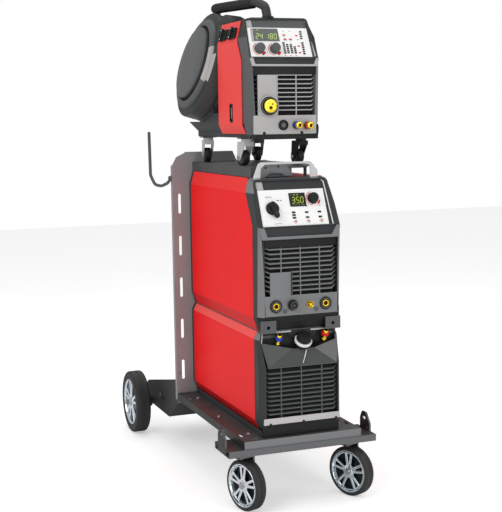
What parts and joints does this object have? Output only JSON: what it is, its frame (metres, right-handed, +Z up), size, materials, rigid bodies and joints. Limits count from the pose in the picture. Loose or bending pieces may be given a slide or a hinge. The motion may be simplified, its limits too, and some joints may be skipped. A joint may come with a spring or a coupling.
{
  "type": "mig welder on cart",
  "caption": "Tall water-cooled arc welding set on a wheeled cart: cooler, power source and wire feeder stacked, with a gas cylinder tray behind.",
  "frame": {"origin": "middle of the overall footprint, on the floor", "axes": "+Z up, -Y towards the front control panels, +X to the right when facing the front"},
  "size_m": [0.546, 1.2024, 1.5868],
  "materials": {
    "cart_grey": "satin powder coat",
    "column_grey": "satin powder coat",
    "red_paint": "satin powder coat",
    "front_grey": "moulded, fine grain",
    "dark_plastic": "moulded, fine grain",
    "light_grey": "satin",
    "panel_film": "printed film",
    "steel": "brushed",
    "chrome": "polished",
    "tyre_rubber": "smooth tread",
    "small_rubber": "smooth",
    "brass": "turned",
    "tank_plastic": "blow moulded",
    "aluminium": "extruded",
    "wire_copper": "wound wire"
  },
  "bodies": {
    "cart": {"deck_tray": "cart_grey", "front_crossmember": "cart_grey", "rear_carrier": "cart_grey", "rear_axle": "steel", "back_plate": "column_grey", "top_shelf": "cart_grey", "torch_hook": "cart_grey", "cooler_shell": "red_paint", "cooler_front": "front_grey", "cooler_rear": "dark_plastic", "cooler_tank": "tank_plastic", "coolant_couplings": "brass", "power_shell": "red_paint", "power_front": "front_grey", "power_rear": "dark_plastic", "power_chassis": "light_grey", "inverter_block": "aluminium", "power_panel": "panel_film", "output_sockets": "brass", "front_handle": "light_grey", "feeder_chassis": "dark_plastic", "feeder_front": "front_grey", "feeder_panel": "panel_film", "euro_connector": "brass", "wire_drive": "aluminium", "feeder_handle": "dark_plastic"},
    "castor_left": {"front_fork_left": "steel"},
    "castor_right": {"front_fork_right": "steel"},
    "front_wheel_left": {"front_tyre_left": "tyre_rubber", "front_rim_left": "chrome"},
    "front_wheel_right": {"front_tyre_right": "tyre_rubber", "front_rim_right": "chrome"},
    "rear_wheel_left": {"rear_tyre_left": "tyre_rubber", "rear_rim_left": "chrome"},
    "rear_wheel_right": {"rear_tyre_right": "tyre_rubber", "rear_rim_right": "chrome"},
    "cap": {"filler_cap": "dark_plastic"},
    "power_switch": {"power_switch_knob": "dark_plastic"},
    "current_dial": {"current_knob": "dark_plastic"},
    "key_left": {"button_left": "dark_plastic"},
    "key_middle": {"button_middle": "dark_plastic"},
    "key_right": {"button_right": "dark_plastic"},
    "feeder_dial_left": {"feeder_knob_left": "dark_plastic"},
    "feeder_dial_right": {"feeder_knob_right": "dark_plastic"},
    "side_door": {"feeder_door": "red_paint"},
    "latch_front": {"door_latch_front": "dark_plastic"},
    "latch_rear": {"door_latch_rear": "dark_plastic"},
    "cover": {"spool_cover": "dark_plastic"},
    "spool": {"wire_spool": "wire_copper"},
    "roll_lower": {"drive_roll_lower": "steel"},
    "roll_upper": {"drive_roll_upper": "steel"},
    "fan": {"fan_rotor": "dark_plastic"},
    "feeder_castor_fl": {"feeder_fork_fl": "steel"},
    "feeder_roller_fl": {"feeder_wheel_fl": "small_rubber"},
    "feeder_castor_fr": {"feeder_fork_fr": "steel"},
    "feeder_roller_fr": {"feeder_wheel_fr": "small_rubber"},
    "feeder_castor_rl": {"feeder_fork_rl": "steel"},
    "feeder_roller_rl": {"feeder_wheel_rl": "small_rubber"},
    "feeder_castor_rr": {"feeder_fork_rr": "steel"},
    "feeder_roller_rr": {"feeder_wheel_rr": "small_rubber"}
  },
  "joints": [
    {"name": "castor_swivel_left", "type": "hinge", "parent": "cart", "child": "castor_left", "pos_m": [-0.181, -0.49434, 0.176], "axis": [0, 0, 1], "continuous": true},
    {"name": "front_wheel_spin_left", "type": "hinge", "parent": "castor_left", "child": "front_wheel_left", "pos_m": [-0.17281, -0.52112, 0.079], "axis": [0.9563, 0.2924, 0], "continuous": true},
    {"name": "castor_swivel_right", "type": "hinge", "parent": "cart", "child": "castor_right", "pos_m": [0.172, -0.49434, 0.176], "axis": [0, 0, 1], "continuous": true},
    {"name": "front_wheel_spin_right", "type": "hinge", "parent": "castor_right", "child": "front_wheel_right", "pos_m": [0.18361, -0.51982, 0.079], "axis": [0.91, 0.4147, 0], "continuous": true},
    {"name": "rear_wheel_spin_left", "type": "hinge", "parent": "cart", "child": "rear_wheel_left", "pos_m": [-0.2455, 0.48466, 0.1165], "axis": [1, 0, 0], "continuous": true},
    {"name": "rear_wheel_spin_right", "type": "hinge", "parent": "cart", "child": "rear_wheel_right", "pos_m": [0.2455, 0.48466, 0.1165], "axis": [1, 0, 0], "continuous": true},
    {"name": "filler_cap_turn", "type": "hinge", "parent": "cart", "child": "cap", "pos_m": [0.012, -0.54234, 0.516], "axis": [0, -0.59, 0.8074], "range_deg": [0, 120]},
    {"name": "power_switch_turn", "type": "hinge", "parent": "cart", "child": "power_switch", "pos_m": [-0.081, -0.53193, 0.92132], "axis": [0, -0.9165, 0.4001], "range_deg": [0, 90]},
    {"name": "current_knob_turn", "type": "hinge", "parent": "cart", "child": "current_dial", "pos_m": [0.056, -0.52073, 0.94698], "axis": [0, -0.9165, 0.4001], "range_deg": [-135, 135]},
    {"name": "key_press_left", "type": "slide", "parent": "cart", "child": "key_left", "axis": [0, 0.9165, -0.4001], "range_m": [0, 0.0015]},
    {"name": "key_press_middle", "type": "slide", "parent": "cart", "child": "key_middle", "axis": [0, 0.9165, -0.4001], "range_m": [0, 0.0015]},
    {"name": "key_press_right", "type": "slide", "parent": "cart", "child": "key_right", "axis": [0, 0.9165, -0.4001], "range_m": [0, 0.0015]},
    {"name": "feeder_knob_turn_left", "type": "hinge", "parent": "cart", "child": "feeder_dial_left", "pos_m": [-0.08, -0.43986, 1.39834], "axis": [0, -0.9409, 0.3387], "range_deg": [-135, 135]},
    {"name": "feeder_knob_turn_right", "type": "hinge", "parent": "cart", "child": "feeder_dial_right", "pos_m": [-0.03, -0.43986, 1.39834], "axis": [0, -0.9409, 0.3387], "range_deg": [-135, 135]},
    {"name": "side_door_hinge", "type": "hinge", "parent": "cart", "child": "side_door", "pos_m": [-0.106, -0.27734, 1.144], "axis": [0, -1, 0], "range_deg": [0, 95]},
    {"name": "latch_turn_front", "type": "hinge", "parent": "side_door", "child": "latch_front", "pos_m": [-0.11052, -0.29634, 1.45405], "axis": [-0.9684, 0, 0.2494], "range_deg": [0, 90]},
    {"name": "latch_turn_rear", "type": "hinge", "parent": "side_door", "child": "latch_rear", "pos_m": [-0.11052, -0.21134, 1.45405], "axis": [-0.9684, 0, 0.2494], "range_deg": [0, 90]},
    {"name": "spool_cover_hinge", "type": "hinge", "parent": "cart", "child": "cover", "pos_m": [-0.02805, 0.19966, 1.34641], "axis": [-0.2874, 0, -0.9578], "range_deg": [0, 100]},
    {"name": "wire_spool_turn", "type": "hinge", "parent": "cart", "child": "spool", "pos_m": [-0.07211, 0.01966, 1.35963], "axis": [0.9578, 0, -0.2874], "continuous": true},
    {"name": "drive_roll_lower_turn", "type": "hinge", "parent": "cart", "child": "roll_lower", "pos_m": [-0.062, -0.26434, 1.262], "axis": [1, 0, 0], "continuous": true},
    {"name": "drive_roll_upper_turn", "type": "hinge", "parent": "cart", "child": "roll_upper", "pos_m": [-0.062, -0.26434, 1.2992], "axis": [1, 0, 0], "continuous": true},
    {"name": "fan_turn", "type": "hinge", "parent": "cart", "child": "fan", "pos_m": [0, 0.08566, 0.76], "axis": [0, 1, 0], "continuous": true},
    {"name": "feeder_castor_swivel_fl", "type": "hinge", "parent": "cart", "child": "feeder_castor_fl", "pos_m": [-0.092, -0.35434, 1.12], "axis": [0, 0, 1], "continuous": true},
    {"name": "feeder_wheel_spin_fl", "type": "hinge", "parent": "feeder_castor_fl", "child": "feeder_roller_fl", "pos_m": [-0.09616, -0.33478, 1.07], "axis": [0.9781, 0.2079, 0], "continuous": true},
    {"name": "feeder_castor_swivel_fr", "type": "hinge", "parent": "cart", "child": "feeder_castor_fr", "pos_m": [0.092, -0.35434, 1.12], "axis": [0, 0, 1], "continuous": true},
    {"name": "feeder_wheel_spin_fr", "type": "hinge", "parent": "feeder_castor_fr", "child": "feeder_roller_fr", "pos_m": [0.08784, -0.33478, 1.07], "axis": [0.9781, 0.2079, 0], "continuous": true},
    {"name": "feeder_castor_swivel_rl", "type": "hinge", "parent": "cart", "child": "feeder_castor_rl", "pos_m": [-0.092, 0.01566, 1.12], "axis": [0, 0, 1], "continuous": true},
    {"name": "feeder_wheel_spin_rl", "type": "hinge", "parent": "feeder_castor_rl", "child": "feeder_roller_rl", "pos_m": [-0.08922, 0.03547, 1.07], "axis": [0.9903, -0.1392, 0], "continuous": true},
    {"name": "feeder_castor_swivel_rr", "type": "hinge", "parent": "cart", "child": "feeder_castor_rr", "pos_m": [0.092, 0.01566, 1.12], "axis": [0, 0, 1], "continuous": true},
    {"name": "feeder_wheel_spin_rr", "type": "hinge", "parent": "feeder_castor_rr", "child": "feeder_roller_rr", "pos_m": [0.09478, 0.03547, 1.07], "axis": [0.9903, -0.1392, 0], "continuous": true}
  ],
  "couplings": [
    {"joint": "drive_roll_upper_turn", "follows": "drive_roll_lower_turn", "ratio": -1}
  ]
}
